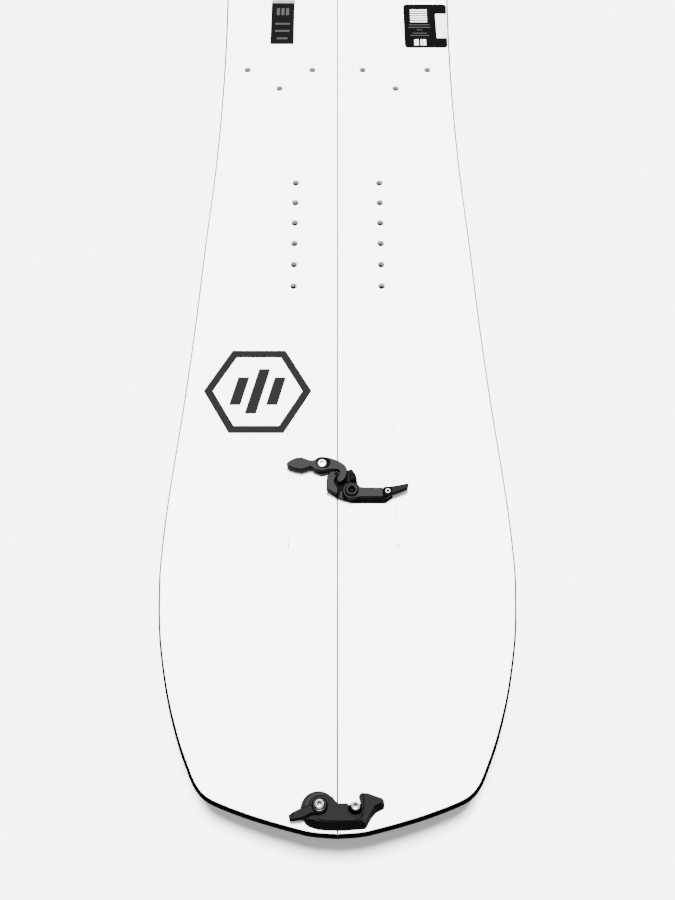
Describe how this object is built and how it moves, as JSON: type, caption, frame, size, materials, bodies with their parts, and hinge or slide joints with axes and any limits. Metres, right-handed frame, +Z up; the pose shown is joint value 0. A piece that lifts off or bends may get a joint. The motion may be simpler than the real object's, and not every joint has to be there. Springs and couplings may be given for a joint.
{
  "type": "splitboard",
  "caption": "Splitboard with a wide blunt nose, two skis joined along a seam by lever hook clips, a nose clip and a tail clip, and threaded binding inserts.",
  "frame": {"origin": "on the ground under the middle of the board's length, on the seam between the two skis", "axes": "+Z up from the base, -Y towards the nose, +Y towards the tail, +X towards the right ski seen from above with the nose towards the viewer"},
  "size_m": [0.3054, 1.5846, 0.0667],
  "materials": {
    "topsheet": "satin white polyamide topsheet",
    "base": "waxed black sintered polyethylene",
    "edge_steel": "ground steel edge",
    "sidewall": "black ABS sidewall",
    "core": "laminated wood",
    "stainless": "stainless steel",
    "bright_bolt": "polished stainless steel",
    "anodised": "dark grey bead-blasted anodised aluminium",
    "clip_black": "black anodised plate",
    "lever_grip": "textured glass-filled nylon",
    "black_screw": "black oxide steel",
    "moulded_black": "moulded glass-filled nylon",
    "label": "printed film label"
  },
  "bodies": {
    "left_ski": {"left_base": "base", "left_edge": "edge_steel", "left_sidewall": "sidewall", "left_core": "core", "left_topsheet": "topsheet", "left_front_inserts": "stainless", "left_rear_inserts": "stainless", "left_touring_inserts": "stainless", "left_heel_inserts": "stainless", "left_label": "label", "front_arm_bolt": "bright_bolt", "front_arm_bush": "stainless", "rear_arm_bolt": "bright_bolt", "rear_arm_bush": "stainless", "nose_pivot_bolt": "bright_bolt", "nose_flange_washer": "black_screw", "tail_post_collar": "black_screw", "tail_post_bolt": "bright_bolt"},
    "right_ski": {"right_base": "base", "right_edge": "edge_steel", "right_sidewall": "sidewall", "right_core": "core", "right_topsheet": "topsheet", "right_front_inserts": "stainless", "right_rear_inserts": "stainless", "right_touring_inserts": "stainless", "right_heel_inserts": "stainless", "right_label": "label", "front_clip_base": "clip_black", "front_rib_guide": "clip_black", "front_pivot_bush": "stainless", "front_pivot_screw": "black_screw", "rear_clip_base": "clip_black", "rear_rib_guide": "clip_black", "rear_pivot_bush": "stainless", "rear_pivot_screw": "black_screw", "tail_pivot_bolt": "bright_bolt", "tail_flange_washer": "black_screw", "nose_post_collar": "black_screw", "nose_post_bolt": "bright_bolt"},
    "front_arm": {"front_hook_arm": "anodised", "front_arm_underplate": "clip_black"},
    "front_draw": {"front_draw_hook": "anodised", "front_draw_link": "clip_black"},
    "front_lever": {"front_lever_arm": "anodised", "front_lever_tip": "lever_grip"},
    "rear_arm": {"rear_hook_arm": "anodised", "rear_arm_underplate": "clip_black"},
    "rear_draw": {"rear_draw_hook": "anodised", "rear_draw_link": "clip_black"},
    "rear_lever": {"rear_lever_arm": "anodised", "rear_lever_tip": "lever_grip"},
    "nose_hook": {"nose_hook_plate": "moulded_black"},
    "nose_beak": {"nose_beak_lever": "moulded_black"},
    "tail_hook": {"tail_hook_plate": "moulded_black"},
    "tail_beak": {"tail_beak_lever": "moulded_black"}
  },
  "joints": [
    {"name": "board_split", "type": "slide", "parent": "left_ski", "child": "right_ski", "axis": [1, 0, 0], "range_m": [0, 0.3]},
    {"name": "front_arm_swing", "type": "hinge", "parent": "left_ski", "child": "front_arm", "pos_m": [-0.0137, -0.47896, 0.008], "axis": [0, 0, 1], "range_deg": [0, 70]},
    {"name": "front_lever_turn", "type": "hinge", "parent": "right_ski", "child": "front_lever", "pos_m": [0.0124, -0.50526, 0.008], "axis": [0, 0, -1], "range_deg": [0, 100]},
    {"name": "front_draw_slide", "type": "slide", "parent": "right_ski", "child": "front_draw", "axis": [-1, 0, 0], "range_m": [0, 0.0035]},
    {"name": "rear_arm_swing", "type": "hinge", "parent": "left_ski", "child": "rear_arm", "pos_m": [-0.0137, 0.59603, 0.008], "axis": [0, 0, 1], "range_deg": [0, 70]},
    {"name": "rear_lever_turn", "type": "hinge", "parent": "right_ski", "child": "rear_lever", "pos_m": [0.0124, 0.56973, 0.008], "axis": [0, 0, -1], "range_deg": [0, 100]},
    {"name": "rear_draw_slide", "type": "slide", "parent": "right_ski", "child": "rear_draw", "axis": [-1, 0, 0], "range_m": [0, 0.0035]},
    {"name": "nose_hook_swing", "type": "hinge", "parent": "left_ski", "child": "nose_hook", "pos_m": [-0.013, -0.7734, 0.05369], "axis": [0, -0.3256, -0.9455], "range_deg": [0, 60]},
    {"name": "nose_beak_turn", "type": "hinge", "parent": "nose_hook", "child": "nose_beak", "pos_m": [-0.013, -0.7734, 0.05369], "axis": [0, -0.3256, -0.9455], "range_deg": [0, 40]},
    {"name": "tail_hook_swing", "type": "hinge", "parent": "right_ski", "child": "tail_hook", "pos_m": [0.013, 0.77365, 0.03356], "axis": [0, 0.2419, -0.9703], "range_deg": [0, 60]},
    {"name": "tail_beak_turn", "type": "hinge", "parent": "tail_hook", "child": "tail_beak", "pos_m": [0.013, 0.77365, 0.03356], "axis": [0, 0.2419, -0.9703], "range_deg": [0, 40]}
  ],
  "couplings": [
    {"joint": "front_draw_slide", "follows": "front_lever_turn", "m_per_rad": 0.002},
    {"joint": "rear_draw_slide", "follows": "rear_lever_turn", "m_per_rad": 0.002}
  ]
}
